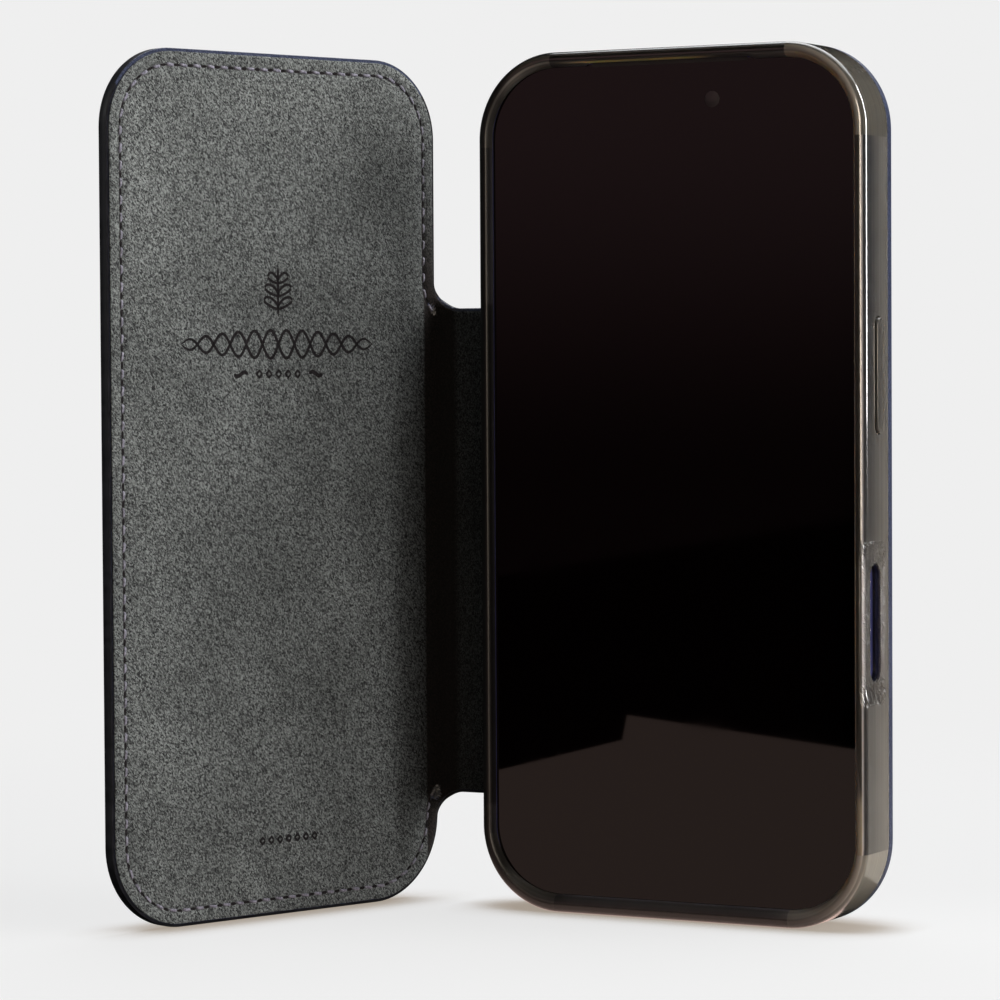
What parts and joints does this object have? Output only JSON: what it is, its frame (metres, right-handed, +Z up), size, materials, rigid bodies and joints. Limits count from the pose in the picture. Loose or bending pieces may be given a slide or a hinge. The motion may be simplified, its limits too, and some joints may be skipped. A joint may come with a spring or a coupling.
{
  "type": "folio phone case",
  "caption": "Folio phone case standing open: soft smoky bumper frame with a leather back, folding spine and stitched front cover, holding a slab phone behind a raised screen lip.",
  "frame": {"origin": "centre of the charging opening in the bottom face of the bumper frame", "axes": "+Z up along the case's height, +Y out of the leather back, +X to the right as the screen is seen"},
  "size_m": [0.1177, 0.0727, 0.1539],
  "materials": {
    "smoky_bumper": "smoky translucent, glossy",
    "smoky_pad": "smoky translucent, glossy",
    "corner_gel": "clear grey-brown gel",
    "navy_leather": "fine pebble grain, semi-matt",
    "microfibre": "short-nap microfibre suede",
    "thread": "waxed thread",
    "hard_plate": "moulded",
    "stiffener": "film",
    "board": "dense fibreboard",
    "surround": "satin, bead-blasted",
    "magnet": "nickel plated",
    "phone_metal": "anodised, fine blasted",
    "display_glass": "polished, screen off",
    "back_glass": "frosted",
    "lens_glass": "polished, coated",
    "lens_ring": "polished bevel",
    "battery": "foil wrapped"
  },
  "bodies": {
    "case_body": {"bumper_frame": "smoky_bumper", "screen_lip": "smoky_bumper", "back_plate": "hard_plate", "bay_lining": "microfibre", "back_leather": "navy_leather", "camera_surround": "surround", "magnet_ring": "magnet", "alignment_magnet": "magnet", "corner_cushion_top_left": "corner_gel", "corner_cushion_top_right": "corner_gel", "corner_cushion_bottom_left": "corner_gel", "corner_cushion_bottom_right": "corner_gel"},
    "spine": {"spine_leather": "navy_leather", "spine_stiffener": "stiffener", "spine_lining": "microfibre", "spine_thread": "thread", "back_fold": "navy_leather"},
    "cover": {"cover_leather": "navy_leather", "cover_board": "board", "cover_lining": "microfibre", "cover_thread": "thread", "cover_fold": "navy_leather"},
    "phone": {"phone_chassis": "phone_metal", "phone_battery": "battery", "phone_display_glass": "display_glass", "phone_back_glass": "back_glass", "phone_front_camera": "lens_glass", "phone_camera_plateau": "phone_metal", "phone_lens_rings": "lens_ring", "phone_lens_glass": "lens_glass"},
    "capture_key": {"phone_capture_key": "phone_metal"},
    "power_pad": {"power_pad": "smoky_pad"},
    "power_key": {"phone_power_key": "phone_metal"},
    "volume_up_pad": {"volume_up_pad": "smoky_pad"},
    "volume_up_key": {"phone_volume_up_key": "phone_metal"},
    "volume_down_pad": {"volume_down_pad": "smoky_pad"},
    "volume_down_key": {"phone_volume_down_key": "phone_metal"},
    "action_pad": {"action_pad": "smoky_pad"},
    "action_key": {"phone_action_key": "phone_metal"}
  },
  "joints": [
    {"name": "spine_swing", "type": "hinge", "parent": "case_body", "child": "spine", "pos_m": [-0.04066, 0.00632, 0.06405], "axis": [0, 0, -1], "range_deg": [-96.5, 170], "deforming": ["back_fold"]},
    {"name": "cover_swing", "type": "hinge", "parent": "spine", "child": "cover", "pos_m": [-0.05505, 0.00543, 0.06405], "axis": [0, 0, -1], "range_deg": [-12.1, 71.4], "deforming": ["cover_fold"]},
    {"name": "phone_slide", "type": "slide", "parent": "case_body", "child": "phone", "axis": [0, -1, 0], "range_m": [0, 0.03], "deforming": ["screen_lip"]},
    {"name": "power_press", "type": "slide", "parent": "case_body", "child": "power_pad", "axis": [-1, 0, 0], "range_m": [0, 0.00035], "stiffness_N_per_m": 4000, "springref_m": -0.0001},
    {"name": "power_key_press", "type": "slide", "parent": "phone", "child": "power_key", "axis": [-1, 0, 0], "range_m": [0, 0.00035]},
    {"name": "volume_up_press", "type": "slide", "parent": "case_body", "child": "volume_up_pad", "axis": [1, 0, 0], "range_m": [0, 0.00035], "stiffness_N_per_m": 4000, "springref_m": -0.0001},
    {"name": "volume_up_key_press", "type": "slide", "parent": "phone", "child": "volume_up_key", "axis": [1, 0, 0], "range_m": [0, 0.00035]},
    {"name": "volume_down_press", "type": "slide", "parent": "case_body", "child": "volume_down_pad", "axis": [1, 0, 0], "range_m": [0, 0.00035], "stiffness_N_per_m": 4000, "springref_m": -0.0001},
    {"name": "volume_down_key_press", "type": "slide", "parent": "phone", "child": "volume_down_key", "axis": [1, 0, 0], "range_m": [0, 0.00035]},
    {"name": "action_press", "type": "slide", "parent": "case_body", "child": "action_pad", "axis": [1, 0, 0], "range_m": [0, 0.00035], "stiffness_N_per_m": 4000, "springref_m": -0.0001},
    {"name": "action_key_press", "type": "slide", "parent": "phone", "child": "action_key", "axis": [1, 0, 0], "range_m": [0, 0.00035]},
    {"name": "capture_key_press", "type": "slide", "parent": "phone", "child": "capture_key", "axis": [-1, 0, 0], "range_m": [0, 0.0003], "stiffness_N_per_m": 4000, "springref_m": -0.0001}
  ],
  "couplings": [
    {"joint": "power_key_press", "follows": "power_press", "ratio": 1},
    {"joint": "volume_up_key_press", "follows": "volume_up_press", "ratio": 1},
    {"joint": "volume_down_key_press", "follows": "volume_down_press", "ratio": 1},
    {"joint": "action_key_press", "follows": "action_press", "ratio": 1}
  ]
}
